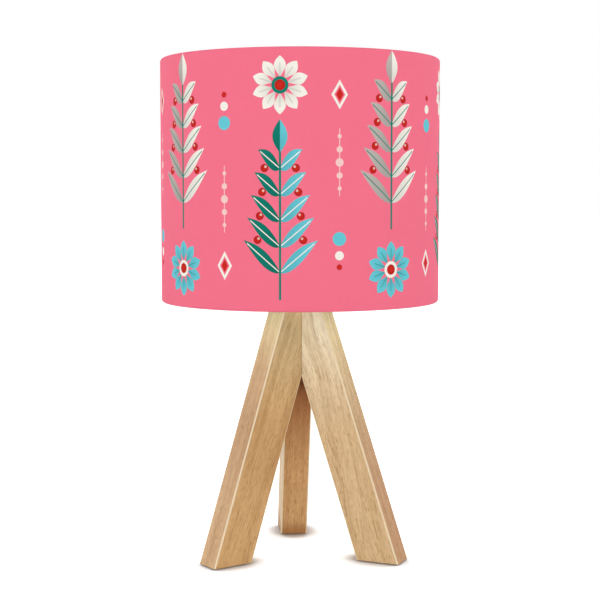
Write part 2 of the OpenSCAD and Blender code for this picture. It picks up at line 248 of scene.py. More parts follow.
class Finish(Graph):
    """The node tree of a material with one principled shader."""

    def __init__(self, name):
        self.material = bpy.data.materials.new(name)
        self.material.use_nodes = True
        super().__init__(self.material.node_tree)
        self.shader = self.tree.nodes["Principled BSDF"]

    def set(self, name, value):
        self.feed(self.shader.inputs[name], value)

    def mapped(self, vector, scale, **moved):
        return self.add("ShaderNodeMapping", Vector=vector, Scale=scale, **moved).outputs[0]

    def place(self, stretch=(1, 1, 1), **moved):
        """Object coordinates in millimetres, stretched, turned and moved."""
        spot = self.add("ShaderNodeTexCoord").outputs["Object"]
        return self.mapped(spot, [share / MM for share in stretch], **moved)

    def noise(self, vector, scale, detail=2.0, roughness=0.5):
        node = self.add("ShaderNodeTexNoise", Vector=vector, Scale=scale, Detail=detail, Roughness=roughness)
        return Amount(self, node.outputs[0])

    def mix(self, share, first, second, blend="MIX"):
        """Two colours mixed by a share of the second."""
        node = self.tree.nodes.new("ShaderNodeMix")
        node.data_type = "RGBA"
        node.blend_type = blend
        self.feed(node.inputs[0], share)
        for socket, tone in ((node.inputs[6], first), (node.inputs[7], second)):
            self.feed(socket, tone if isinstance(tone, bpy.types.NodeSocket) else (*tone, 1.0))
        return node.outputs[2]

    def dim(self, tone, level):
        """A colour times a level."""
        grey = self.add("ShaderNodeCombineColor", Red=level, Green=level, Blue=level).outputs[0]
        return self.mix(1.0, tone, grey, "MULTIPLY")

    def bump(self, height, distance, strength):
        node = self.add("ShaderNodeBump", Height=height, Distance=distance, Strength=strength)
        self.set("Normal", node.outputs[0])


# Timber

# Layers of the grain: noise per millimetre across and along the leg, detail and roughness
GRAIN = {
    "sway": (0.03, 0.012, 2.0, 0.5),
    "band": (0.16, 0.009, 3.0, 0.5),
    "patch": (0.10, 0.03, 2.0, 0.5),
    "mottle": (0.45, 0.2, 3.0, 0.5),
    "stroke": (1.15, 0.10, 2.0, 0.5),
    "pore": (2.5, 0.19, 1.0, 0.5),
    "fibre": (2.0, 0.12, 4.0, 0.65),
}
SWAY_REACH = 14.0
RING_WIDTH = 5.2
# Depths under a leg's faces where their own tone starts and is full, and where a pale arris starts
FACE_START, FACE_FULL = 1.0, 0.6
ARRIS_START, ARRIS_SOFT = 1.1, 0.35
# Stretches along a leg over which the pores fade, and over which the faces are painted brighter towards the
# top, as painted light against the shade's shadow
PORE_FADE = (100.0, 175.0)
CROWN_LIGHT_CLIMB = (148.0, 176.0)


def timber_finish(name, azimuth, blank):
    """Pale open-pored timber, with its grain along one leaning leg, pale arrises, and painted light and shade
    on its faces.
    """
    size, tone = sizes(), colours()
    half_width = size.leg_width / MM / 2
    half_thickness = size.leg_thickness / MM / 2
    finish = Finish(name)
    ease, mix = finish.ease, finish.mix

    def grain(layer, spot):
        wide, long, detail, roughness = GRAIN[layer]
        return finish.noise(finish.mapped(spot, (wide, wide, long)), 1.0, detail, roughness)

    turned = Matrix.Rotation(size.leg_lean, 3, "Y") @ Matrix.Rotation(-azimuth, 3, "Z")
    middle = size.foot_reach * math.cos(size.leg_lean) / MM
    place = finish.place(Rotation=turned.to_euler("XYZ"), Location=(-middle, 0, 0))
    across, through, along = finish.split(place)
    sway = (grain("sway", place) - 0.5) * SWAY_REACH
    side = across + along * blank["slope"] + sway
    board = finish.join(side + blank["cut"], through, along)

    # Growth bands round a pith outside the blank
    pith_across, pith_through = blank["pith"]
    ring = finish.calc("FRACT", finish.span(side + pith_across, through + pith_through) / RING_WIDTH)
    late = ease(ring, 0.2, 0.85) * ease(ring, 1.0, 0.9)

    band = grain("band", board)
    patch = grain("patch", board)
    fibre = grain("fibre", board)
    stroke = ease(grain("stroke", board), 0.535, 0.62) * ease(patch, 0.36, 0.60, 0.35, 1.0)
    pore = ease(grain("pore", board), 0.60, 0.68) * ease(patch, 0.30, 0.55, 0.5, 1.0)
    pore = pore * ease(along, *PORE_FADE, 1.0, 0.4)

    # Tone of the blank, with painted light in it. It changes up the leg to a top tone: paler tops are painted
    # light against the shade's shadow, and the back leg's darker top is painted shade under the joint. The
    # very top is painted brighter still, the outer face has its own tone, and one side face is painted pale
    # as if lit
    face = mix(ease(along, *blank["climb"]), tint(*blank["body"]), tint(*blank["body_top_painted_light"]))
    face = finish.dim(face, ease(along, *CROWN_LIGHT_CLIMB, 1.0, blank["crown_light"]))
    # The outer face's own tone holds painted light and shade of that face along with the wood's tone
    edge = mix(ease(along, *blank["outer_climb"]), tint(*blank["outer"]), tint(*blank["outer_top_painted_light"]))
    outer = ease(across, half_width - FACE_START, half_width - FACE_FULL)
    # One side face takes the pale tone as painted light, as if that side were lit
    painted_lit_flank = ease(through, half_thickness - FACE_START, half_thickness - FACE_FULL)
    base = mix(painted_lit_flank * blank["painted_lit_flank"], mix(outer, face, edge), tone.timber_edge)
    base = finish.dim(base, ease(band, 0.34, 0.66, 0.95, 1.07))
    base = mix(ease(band, 0.58, 0.36, 0.0, 0.5), base, tone.timber_warm, "MULTIPLY")

    # Dark marks of the grain, and a stain over a stretch of the leg, which on the back leg is painted shade
    # at its foot
    late_dark, stroke_dark, fibre_dark, mottle_dark = 0.11, 0.33, 0.18, 0.10
    stroke = stroke * ease(outer, 0.0, 1.0, 1.0, 0.55)
    marks = [late * late_dark, stroke * stroke_dark, pore * blank["pores"]]
    for layer, dark in ((fibre, fibre_dark), (grain("mottle", board), mottle_dark)):
        marks.append(ease(layer, 0.40, 0.66, 0.0, dark))
    # A stain darkens a stretch of the leg; the back leg's one, at its foot, is painted shade
    for low, high, soft, share in blank["stains_and_foot_shade"]:
        marks.append(ease(along, low, low + soft, 0.0, share) * ease(along, high, high - soft))
    for mark in marks:
        base = mix(mark, base, tone.timber_dark, "MULTIPLY")

    rim_across, rim_through = half_width - ARRIS_START, half_thickness - ARRIS_START
    arris = ease(abs(across), rim_across, rim_across + ARRIS_SOFT)
    arris = arris * ease(abs(through), rim_through, rim_through + ARRIS_SOFT)
    base = mix(arris * 0.9, base, tone.timber_edge)
    facing = finish.split(finish.add("ShaderNodeTexCoord").outputs["Normal"])
    end_grain = ease(abs(facing[2]), 0.97, 0.995)
    base = mix(end_grain * 0.35, base, tone.timber_dark)

    finish.set("Base Color", base)
    finish.set("Roughness", ease(fibre, 0.3, 0.7, 0.50, 0.64))
    finish.set("Specular IOR Level", 0.2)
    finish.bump(fibre * 0.4 - (pore + stroke * 0.3), 0.12 * MM, 0.3)
    return finish.material


# Printed cloth


class PrintedCloth(Finish):
    """The cloth's print, in columns round the drum.

    An even column has a low sprig under a daisy, and an odd one a high sprig over a daisy. Lozenges, bead
    strings and dots fill the gaps between columns, and every other gap is upside down. Lengths are in
    millimetres on the flat cloth, with u round the drum and v up it.
    """

    leaf_rows = 5
    leaf_step = 17.0
    leaf_rise = 0.85

    def __init__(self, name):
        super().__init__(name)
        size = sizes()
        sprig_foot, sprig_lift, first_leaf, turn_over = 6.0, 46.0, 18.0, 168.0
        cloth = self.add("ShaderNodeUVMap")
        cloth.uv_map = "cloth"
        around, upward, _ = self.split(cloth.outputs[0])
        self.tone = colours()
        self.u = around / MM + size.print_shift / MM
        self.v = upward / MM

        width = FULL_TURN * size.shade_radius / MM / size.print_columns
        column = math.floor(self.u / width)
        self.odd = column % 2.0
        self.x = self.u - (column + 0.5) * width
        self.away = abs(self.x)
        self.y = self.v - (self.odd * sprig_lift + sprig_foot)
        self.raised = self.y - self.away * self.leaf_rise - first_leaf

        gap = round(self.u / width)
        flip = gap % 2.0
        self.gap_x = abs(self.u - gap * width)
        self.gap_y = self.v * (1.0 - flip * 2.0) + flip * turn_over

    def inside(self, depth, soft=0.16):
        """Share of ink by the depth inside an outline."""
        return self.ease(depth, -soft, soft)

    def between(self, value, low, high):
        return (value > low) * (value < high)

    def bulge(self, share, half):
        """Half width of a leaf shape at a share of its length."""
        return self.calc("SINE", share * math.pi) * half

    def ball(self, distance, lit, rim):
        """Red that darkens from a lit middle to the rim."""
        return self.mix(self.ease(distance, lit, rim, 0.0, 0.45), self.tone.red, self.tone.dark_red)

    def sprigs(self, ink):
        tone, mix = self.tone, self.mix
        leaf_reach, leaf_shrink, leaf_half, leaf_belly = 25.0, 2.6, 5.4, 0.8
        vein_half, vein_end = 0.42, 0.9
        bud_low, bud_high, bud_half = 96.0, 118.0, 5.0
        stem_half, stem_length = 0.75, 97.0

        row = round(self.raised / self.leaf_step)
        offset = abs(self.raised - row * self.leaf_step)
        reach = leaf_reach - row * leaf_shrink
        share = self.calc("MINIMUM", self.away / reach, 1.0)
        leaf = self.inside(self.bulge(share ** leaf_belly, leaf_half) - offset)
        leaf = leaf * self.between(row, -0.5, self.leaf_rows - 0.5) * (self.away < reach)
        vein = leaf * self.inside(vein_half - offset) * (share < vein_end)
        tip = self.clamp((self.y - bud_low) / (bud_high - bud_low))
        bud = self.inside(self.bulge(tip, bud_half) - self.away) * self.between(self.y, bud_low, bud_high)
        stem = self.inside(stem_half - self.away) * self.between(self.y, 0.0, stem_length)

        right_ink = mix(self.odd, tone.turquoise, tone.cream)
        left_ink = mix(self.odd, tone.teal, tone.grey)
        leaf_ink = mix(self.x < 0.0, right_ink, left_ink)
        ink = mix(leaf, ink, self.dim(leaf_ink, self.ease(share, 0.0, 0.9, 0.78, 1.0)))
        ink = mix(bud, ink, self.dim(leaf_ink, self.ease(tip, 0.0, 0.9, 0.80, 1.0)))
        ink = mix(vein, ink, mix(self.odd, tone.cream, tone.teal))
        return mix(stem, ink, tone.teal)

    def berries(self, ink):
        """Berries between the leaves, each with a shine."""
        first_reach, shrink, radius, lit = 15.2, 1.6, 2.7, 0.8
        shine_radius, shine_soft, shine_in, shine_up = 0.8, 0.3, 0.8, 0.9
        row = math.floor(self.raised / self.leaf_step)
        x = self.away - (first_reach - row * shrink)
        y = self.raised - (row + 0.5) * self.leaf_step + x * self.leaf_rise
        distance = self.span(x, y)
        berry = self.inside(radius - distance) * self.between(row, -0.5, self.leaf_rows - 1.5)
        shine = self.inside(shine_radius - self.span(x + shine_in, y - shine_up), shine_soft)
        berry_ink = self.mix(shine * 0.6, self.ball(distance, lit, radius), self.tone.cream)
        return self.mix(berry, ink, berry_ink)

    def daisies(self, ink):
        tone, mix = self.tone, self.mix
        height, drop = 146.0, 121.0
        petals, petal_foot, petal_length, petal_end = 10, 4.0, 15.0, 19.2
        petal_half, petal_belly = 3.9, 1.5
        fold_half, fold_end = 0.35, 14.5
        ring, middle, lit = 5.6, 3.5, 1.0

        y = self.v - (height - self.odd * drop)
        radius = self.span(self.x, y)
        petal_turn = FULL_TURN / petals
        heading = self.calc("ARCTAN2", y, self.x) + FULL_TURN
        swing = heading % petal_turn - petal_turn / 2
        aside = abs(radius * self.calc("SINE", swing))
        outward = self.clamp((radius - petal_foot) / petal_length)
        petal = self.inside(self.bulge(outward ** petal_belly, petal_half) - aside) * (radius < petal_end)
        fold = self.inside(fold_half - aside) * (radius < fold_end)

        petal_ink = mix(self.odd, tone.cream, tone.turquoise)
        petal_ink = self.dim(petal_ink, self.ease(outward, 0.1, 0.8, 0.80, 1.0))
        petal_ink = mix(fold * 0.55, petal_ink, mix(self.odd, tone.grey, tone.teal))
        ink = mix(petal, ink, petal_ink)
        ink = mix(self.inside(ring - radius), ink, mix(self.odd, tone.teal, tone.cream))
        return mix(self.inside(middle - radius), ink, self.ball(radius, lit, middle))

    def lozenges(self, ink):
        tone = self.tone
        height, slant, soft = 28.0, 1.7, 0.25
        depth = self.gap_x * slant + abs(self.gap_y - height)
        for half, layer_ink in ((9.6, tone.cream), (6.4, tone.ground), (4.4, tone.red)):
            ink = self.mix(self.inside(half - depth, soft), ink, layer_ink)
        return ink

    def beads(self, ink):
        """Strings of beads that shrink from the middle to the ends."""
        height, step, each_way, radius, shrink = 72.0, 8.5, 2, 2.7, 0.65
        string_half, string_reach, cover = 0.3, 22.0, 0.62
        y = self.gap_y - height
        bead = round(y / step)
        distance = self.span(self.gap_x, y - bead * step)
        beads = self.inside(radius - abs(bead) * shrink - distance)
        beads = beads * self.between(bead, -each_way - 0.5, each_way + 0.5)
        string = self.inside(string_half - self.gap_x) * self.between(y, -string_reach, string_reach)
        return self.mix(self.calc("MAXIMUM", beads, string) * cover, ink, self.tone.cream)

    def dots(self, ink):
        tone = self.tone
        row = ((122.0, 4.6, tone.turquoise), (133.0, 3.0, tone.cream), (140.5, 1.9, tone.red))
        for height, radius, dot_ink in row:
            distance = self.span(self.gap_x, self.gap_y - height)
            ink = self.mix(self.inside(radius - distance), ink, dot_ink)
        return ink


def print_finish(name):
    """Plain-weave cloth with a print, and with slight unevenness in its yarns."""
    cloth = PrintedCloth(name)
    calc, ease, u, v = cloth.calc, cloth.ease, cloth.u, cloth.v
    ink = cloth.tone.ground
    for motif in (cloth.sprigs, cloth.berries, cloth.daisies, cloth.lozenges, cloth.beads, cloth.dots):
        ink = motif(ink)

    wave = math.pi * MM / sizes().weave_pitch
    warp = calc("SINE", u * wave)
    weft = calc("SINE", v * wave)
    over = warp * weft
    relief = calc("MAXIMUM", abs(warp) * ease(over, -0.2, 0.2), abs(weft) * ease(over, 0.2, -0.2))
    fine, coarse, uneven, apart = 1.6, 0.05, 0.05, 7.0
    strands = cloth.noise(cloth.join(u * coarse, v * fine, 0.0), 1.0)
    slubs = cloth.noise(cloth.join(u * fine, v * coarse, apart), 1.0)
    yarn = ease(relief, 0.1, 0.9, 0.95, 1.015) + (strands - 0.5) * uneven + (slubs - 0.5) * uneven
    cloth.set("Base Color", cloth.dim(ink, yarn))
    cloth.set("Roughness", ease(relief, 0.0, 1.0, 0.92, 0.8))
    cloth.set("Specular IOR Level", 0.08)
    cloth.bump(relief + slubs, 0.07 * MM, 0.35)
    return cloth.material


# Plain finishes


def clouded(name, tones, cloud, cover, grain, rough, relief=None, stretch=(1, 1, 1)):
    """A finish of two near tones in clouds, with a fine grain in its gloss and its relief.

    cloud and grain are noise settings, cover is the cloud's range with shares of the second tone, rough the
    range of roughness, and relief the depth and strength of the grain.
    """
    finish = Finish(name)
    clouds = finish.noise(finish.place(), *cloud)
    fine = finish.noise(finish.place(stretch), *grain)
    finish.set("Base Color", finish.mix(finish.ease(clouds, *cover), *tones))
    finish.set("Roughness", finish.ease(fine, 0.3, 0.7, *rough))
    if relief:
        finish.bump(fine, *relief)
    return finish


def lining_finish(name):
    """Matt white lining film with a faint cloudiness."""
    tones = (colours().lining, tint(230, 228, 221))
    cover = (0.35, 0.7, 0.0, 0.35)
    finish = clouded(name, tones, (0.03, 3.0), cover, (1.2, 3.0), (0.55, 0.68), (0.03 * MM, 0.3))
    finish.set("Specular IOR Level", 0.3)
    return finish.material


def coated_finish(name):
    """White powder coat with a fine peel and faint grey patches."""
    tones = (colours().coated_wire, tint(216, 214, 206))
    cover = (0.55, 0.75, 0.0, 0.3)
    return clouded(name, tones, (0.12, 4.0), cover, (2.4, 2.0), (0.34, 0.5), (0.04 * MM, 0.5)).material


def metal_finish(name, metal, rough):
    """Plated metal with fine turning marks and dull patches."""
    tone = getattr(colours(), metal)
    tones = (tone, [channel * 0.72 for channel in tone])
    cover = (0.4, 0.75, 0.0, 0.6)
    lines, gloss, relief = (0.9, 4.0, 0.6), (rough, rough + 0.16), (0.02 * MM, 0.4)
    finish = clouded(name, tones, (0.25, 3.0), cover, lines, gloss, relief, stretch=(1, 1, 12))
    finish.set("Metallic", 1.0)
    return finish.material


def plastic_finish(name):
    """Black moulded plastic with a fine spark grain and a haze of handling."""
    tone = colours().black
    tones = (tone, [channel * 1.6 + 0.006 for channel in tone])
    cover = (0.45, 0.75, 0.0, 0.5)
    return clouded(name, tones, (0.15, 3.0), cover, (3.2, 3.0), (0.36, 0.52), (0.03 * MM, 0.5)).material


def opal_finish(name):
    """Opal glass: a white body under a clear smooth skin."""
    tones = (colours().opal, tint(236, 233, 224))
    cloud = (0.05, 2.0)
    finish = clouded(name, tones, cloud, (0.35, 0.7), cloud, (0.12, 0.2))
    finish.set("Coat Weight", 0.4)
    finish.set("Coat Roughness", 0.05)
    return finish.material


def ceramic_finish(name):
    """Unglazed white ceramic with specks."""
    tones = (tint(228, 220, 202), tint(196, 186, 166))
    speck = (1.6, 4.0)
    return clouded(name, tones, speck, (0.5, 0.75, 0.0, 0.5), speck, (0.6, 0.75), (0.05 * MM, 0.4)).material


def felt_finish(name):
    """Pressed wool felt."""
    tones = (tint(104, 95, 85), colours().felt)
    fuzz = (2.6, 5.0, 0.7)
    return clouded(name, tones, fuzz, (0.35, 0.7), fuzz, (0.9, 1.0), (0.2 * MM, 0.7)).material


MAKERS = {
    "printed_cloth": print_finish,
    "lining_film": lining_finish,
    "coated_wire": coated_finish,
    "zinc_steel": partial(metal_finish, metal="steel", rough=0.3),
    "brass_strip": partial(metal_finish, metal="brass", rough=0.28),
    "nickel": partial(metal_finish, metal="nickel", rough=0.22),
    "black_plastic": plastic_finish,
    "opal_glass": opal_finish,
    "ceramic": ceramic_finish,
    "felt": felt_finish,
}
FINISHES = {}


def finish_for(name):
    """The named finish, made once."""
    if name not in FINISHES:
        FINISHES[name] = MAKERS[name](name)
    return FINISHES[name]


def dress(material, *nodes):
    """Gives frame nodes their finish."""
    for node in nodes:
        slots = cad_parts[node].material_slots
        if not slots:
            raise RuntimeError(f"{node} has no material slot")
        for slot in slots:
            slot.material = material


# Shapes

# Points that lie closer than this are one point
MERGE_GAP = 0.002 * MM


def chain(bm, points, closed=False):
    """An edge chain through (radius, height) points, in the plane of +X and +Z."""
    verts = [bm.verts.new((radius, 0, height)) for radius, height in points]
    pairs = list(zip(verts, verts[1:]))
    if closed:
        pairs.append((verts[-1], verts[0]))
    return verts + [bm.edges.new(pair) for pair in pairs]


def arc(centre, radius, start, end, count):
    """Points of an arc, with angles in degrees."""
    angles = [math.radians(start + (end - start) * i / count) for i in range(count + 1)]
    return [(centre[0] + radius * math.cos(a), centre[1] + radius * math.sin(a)) for a in angles]


def ring_section(bore, outer, low, high):
    """Corners of a plain ring's section."""
    return [(bore, low), (outer, low), (outer, high), (bore, high)]


def turn(bm, geom, steps, turned=FULL_TURN, rise=0.0):
    """Spins a chain about the centre line, climbing by rise in each full turn."""
    whole = turned == FULL_TURN and not rise
    count = round(steps * turned / FULL_TURN)
    bmesh.ops.spin(
        bm, geom=geom, cent=(0, 0, 0), axis=(0, 0, 1), dvec=(0, 0, rise / steps),
        angle=turned, steps=count, use_merge=whole, use_normal_flip=False, use_duplicate=False,
    )
    bmesh.ops.remove_doubles(bm, verts=bm.verts, dist=MERGE_GAP)


def soften(bm, width, segments=3, limit=30):
    """Bevels the edges that are sharper than a limit in degrees."""
    sharp = [e for e in bm.edges if len(e.link_faces) == 2 and e.calc_face_angle(0) > math.radians(limit)]
    bmesh.ops.bevel(
        bm, geom=sharp, offset=width, offset_type="OFFSET", segments=segments, profile=0.5, affect="EDGES",
        material=-1, clamp_overlap=True,
    )


def turned_mesh(points, steps, edge=0.0):
    """A closed outline spun into a ring or a solid, with softened edges."""
    bm = bmesh.new()
    on_axis = points[0][0] == 0 and points[-1][0] == 0
    turn(bm, chain(bm, points, closed=not on_axis), steps)
    bmesh.ops.recalc_face_normals(bm, faces=bm.faces)
    if edge:
        soften(bm, edge)
    return bm


def thread(bm, crest, root, pitch, low, high, steps, points):
    """Spins a screw thread between two heights, and leaves it open at both ends."""
    middle, half = (crest + root) / 2, (crest - root) / 2
    wave = [
        (middle - half * math.cos(FULL_TURN * i / points), low - pitch + pitch * i / points)
        for i in range(points + 1)
    ]
    turns = math.ceil((high - low) / pitch) + 2
    turn(bm, chain(bm, wave), steps, FULL_TURN * turns, pitch)
    for height, normal in ((low, (0, 0, -1)), (high, (0, 0, 1))):
        bmesh.ops.bisect_plane(
            bm, geom=bm.verts[:] + bm.edges[:] + bm.faces[:], dist=1e-7, plane_co=(0, 0, height),
            plane_no=normal, clear_outer=True, clear_inner=False,
        )


def loop_at(bm, height):
    """Open edges that lie at one height."""
    edges = [e for e in bm.edges if e.is_boundary]
    return [e for e in edges if all(abs(vert.co.z - height) < MERGE_GAP for vert in e.verts)]


def threaded_mesh(outlines, ends, crest, root, pitch, steps, points):
    """A screw thread joined at both ends to spun outlines.

    ends are two pairs of heights, the lower first: where an outline stops and where the thread starts.
    """
    (_, low), (_, high) = ends
    bm = bmesh.new()
    thread(bm, crest, root, pitch, low, high, steps, points)
    for outline in outlines:
        turn(bm, chain(bm, outline), steps)
    for stop, start in ends:
        bmesh.ops.bridge_loops(bm, edges=loop_at(bm, stop) + loop_at(bm, start))
    return bm


def finish_piece(name, bm, material, body, slot, *nodes, sharp=40):
    """Makes an object of a mesh, rides it on its body and lets it stand for its nodes."""
    bmesh.ops.recalc_face_normals(bm, faces=bm.faces)
    mesh = bpy.data.meshes.new(name)
    bm.to_mesh(mesh)
    bm.free()
    mesh.shade_smooth()
    mesh.set_sharp_from_angle(angle=math.radians(sharp))
    mesh.materials.append(material)
    piece = bpy.data.objects.new(name, mesh)
    bpy.context.scene.collection.objects.link(piece)
    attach(piece, body)
    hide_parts(*nodes)
    return piece


def leg_azimuths():
    """Heading of each leg from the right-hand side."""
    turned = sizes().tripod_turn
    return {
        "leg_left": math.radians(210) + turned,
        "leg_right": math.radians(330) + turned,
        "leg_back": math.radians(90) + turned,
    }


def arm_headings():
    """Headings of the shade frame's three arms."""
    return [sizes().arm_turn + FULL_TURN * i / 3 for i in range(3)]


# Operators


class LAMP_OT_stage(bpy.types.Operator):
    """White floor, white surroundings, a soft light and the camera"""

    bl_idname = "lamp.stage"
    bl_label = "Stage"

    floor_half = 12.0
    floor_tones = ((0.86, 0.86, 0.86), (0.9, 0.9, 0.9))
    floor_glow = 0.62
    contact_reach = 16 * MM
    contact_range = (0.55, 1.0)
    # Light of the surroundings: two heights of the ray's aim, and the strength at each
    horizon_glow = (0.10, 0.42, 2.83, 0.3)
    overhead_glow = (0.72, 0.96, 0.0, 1.2)
    key_place = Vector((-0.3, -1.7, 0.3))
    key_aim = Vector((0, 0, 0.16))
    key_size = 0.5
    key_power = 1.2
    camera_place = (0, -1.0114, 0.2637)
    camera_drop = 4.419
    camera_lens = 83.68
    camera_sensor = 36

    def execute(self, context):
        self.floor(context.scene)
        self.surroundings(context.scene)
        self.light(context.scene)
        self.camera(context.scene)
        return {"FINISHED"}

    def floor(self, scene):
        """A pale floor that shows as white, apart from the shadow close to the feet."""
        finish = Finish("floor")
        grain = finish.noise(finish.place(), 0.01)
        finish.set("Base Color", finish.mix(grain, *self.floor_tones))
        finish.set("Roughness", 1.0)
        finish.set("Specular IOR Level", 0.0)
        free = finish.add("ShaderNodeAmbientOcclusion", Distance=self.contact_reach).outputs["AO"]
        glow = finish.shown() * finish.ease(free, *self.contact_range) * self.floor_glow
        finish.set("Emission Color", WHITE)
        finish.set("Emission Strength", glow)

        bm = bmesh.new()
        bmesh.ops.create_grid(bm, x_segments=2, y_segments=2, size=self.floor_half)
        mesh = bpy.data.meshes.new("floor")
        bm.to_mesh(mesh)
        bm.free()
        mesh.materials.append(finish.material)
        ground = bpy.data.objects.new("floor", mesh)
        scene.collection.objects.link(ground)

    def surroundings(self, scene):
        """White all round for the eye; for the light, a bright band at the horizon and a glow overhead."""
        world = bpy.data.worlds.new("studio")
        world.use_nodes = True
        world.node_tree.nodes.clear()
        scene.world = world
        graph = Graph(world.node_tree)
        rise = graph.split(graph.add("ShaderNodeTexCoord").outputs["Generated"])[2]
        level = graph.ease(rise, *self.horizon_glow) + graph.ease(rise, *self.overhead_glow)
        light = graph.add("ShaderNodeBackground", Color=WHITE, Strength=level)
        backdrop = graph.add("ShaderNodeBackground", Color=WHITE)
        mixed = graph.add("ShaderNodeMixShader", Fac=graph.shown())
        graph.feed(mixed.inputs[1], light.outputs[0])
        graph.feed(mixed.inputs[2], backdrop.outputs[0])
        graph.add("ShaderNodeOutputWorld", Surface=mixed.outputs[0])

    def light(self, scene):
        lamp = bpy.data.lights.new("key", "AREA")
        lamp.size = self.key_size
        lamp.energy = self.key_power
        panel = bpy.data.objects.new("key", lamp)
        panel.location = self.key_place
        panel.rotation_euler = (self.key_aim - self.key_place).to_track_quat("-Z", "Y").to_euler()
        scene.collection.objects.link(panel)

    def camera(self, scene):
        lens = bpy.data.cameras.new("camera")
        lens.sensor_width = self.camera_sensor
        lens.lens = self.camera_lens
        seat = bpy.data.objects.new("camera", lens)
        seat.location = self.camera_place
        seat.rotation_euler = (math.radians(90 - self.camera_drop), 0, 0)
        scene.collection.objects.link(seat)
        scene.camera = seat
        scene.view_settings.view_transform = "Standard"


class LAMP_OT_legs(bpy.types.Operator):
    """Timber finish for the three mitred legs"""

    bl_idname = "lamp.legs"
    bl_label = "Legs"

    # Each leg's own board, with display colours and with lengths in millimetres. pith leads from the centre
    # of the growth bands to the leg's middle, cut moves the grain, slope is its lean, pores is how dark they
    # are, climb is the stretch over which a tone changes, crown is a level at the top, flank is the share of
    # the pale tone on one side, and a stain has its low end, high end, soft ends and share. The face tones
    # hold painted light and shade along with the wood's own tone: the front legs' top tones and crown are
    # painted paler against the shade's shadow, the back leg's darker top is painted shade under the joint,
    # the flank's pale tone is painted light on a lit side, and the back leg's stain at its foot is painted
    # shade.
    blanks = {
        "leg_left": {
            "pith": (34.0, 46.0), "cut": 0.0, "slope": 0.02, "pores": 0.55, "climb": (65.0, 178.0),
            "body": (215, 176, 123), "body_top_painted_light": (198, 179, 137), "crown_light": 1.7,
            "outer": (215, 180, 139), "outer_top_painted_light": (249, 240, 192), "outer_climb": (108.0, 180.0),
            "painted_lit_flank": 0.0, "stains_and_foot_shade": ((15.0, 115.0, 40.0, 0.2),),
        },
        "leg_right": {
            "pith": (-48.0, -52.0), "cut": 60.0, "slope": -0.07, "pores": 0.7, "climb": (65.0, 178.0),
            "body": (221, 191, 147), "body_top_painted_light": (243, 234, 206), "crown_light": 1.3,
            "outer": (201, 158, 117), "outer_top_painted_light": (240, 226, 176), "outer_climb": (30.0, 190.0),
            "painted_lit_flank": 0.0, "stains_and_foot_shade": (),
        },
        "leg_back": {
            "pith": (26.0, -60.0), "cut": 130.0, "slope": 0.015, "pores": 0.5, "climb": (25.0, 140.0),
            "body": (216, 174, 122), "body_top_painted_light": (158, 96, 54), "crown_light": 1.0,
            "outer": (214, 179, 139), "outer_top_painted_light": (240, 218, 174), "outer_climb": (108.0, 180.0),
            "painted_lit_flank": 0.75, "stains_and_foot_shade": ((-60.0, -1.0, 13.0, 0.6),),
        },
    }

    def execute(self, context):
        for node, azimuth in leg_azimuths().items():
            dress(timber_finish("timber_" + node, azimuth, self.blanks[node]), node)
        return {"FINISHED"}


class LAMP_OT_feet(bpy.types.Operator):
    """Felt pads under the legs"""

    bl_idname = "lamp.feet"
    bl_label = "Feet"

    def execute(self, context):
        size = sizes()
        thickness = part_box("foot_pads")[1].z
        edge = 0.25 * MM
        bm = bmesh.new()
        for azimuth in leg_azimuths().values():
            place = Matrix.Rotation(azimuth, 4, "Z") @ Matrix.Translation((size.foot_reach, 0, thickness / 2))
            bmesh.ops.create_cone(
                bm, cap_ends=True, segments=48, radius1=size.pad_radius, radius2=size.pad_radius,
                depth=thickness, matrix=place,
            )
        soften(bm, edge, segments=2)
        finish_piece("felt_pads", bm, finish_for("felt"), "base", "felt", "foot_pads")
        return {"FINISHED"}


